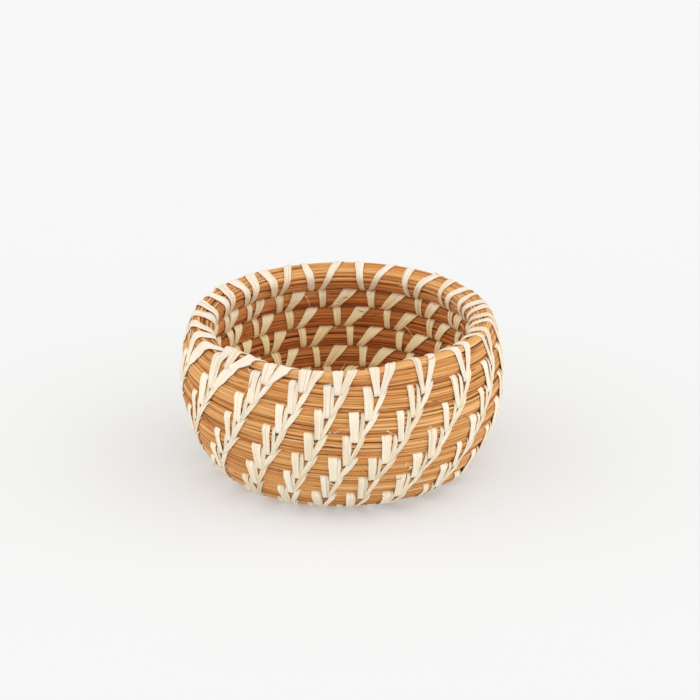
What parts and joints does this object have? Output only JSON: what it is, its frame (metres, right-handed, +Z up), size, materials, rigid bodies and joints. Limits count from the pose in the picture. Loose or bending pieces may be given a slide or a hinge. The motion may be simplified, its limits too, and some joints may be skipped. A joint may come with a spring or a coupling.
{
  "type": "coiled basket",
  "caption": "Round open coiled basket of pine needles, one continuous bundle wound from the floor to the rim and sewn with raffia in wheat stitch.",
  "frame": {"origin": "centre of the basket on the surface that it stands on", "axes": "+Z up through the open mouth; -Y is the front, from which the picture is taken; +X is the right-hand side seen from the front"},
  "size_m": [0.1199, 0.12, 0.0617],
  "materials": {
    "needles": "satin",
    "raffia": "satin"
  },
  "bodies": {
    "root": {"needle_coil": "needles", "core_wrap": "raffia", "wall_strand_1": "raffia", "wall_strand_2": "raffia", "wall_strand_3": "raffia", "wall_strand_4": "raffia", "wall_strand_5": "raffia", "wall_strand_6": "raffia", "wall_strand_7": "raffia", "wall_strand_8": "raffia", "floor_strand_1": "raffia", "floor_strand_2": "raffia", "floor_strand_3": "raffia", "end_binding": "raffia"}
  },
  "joints": []
}
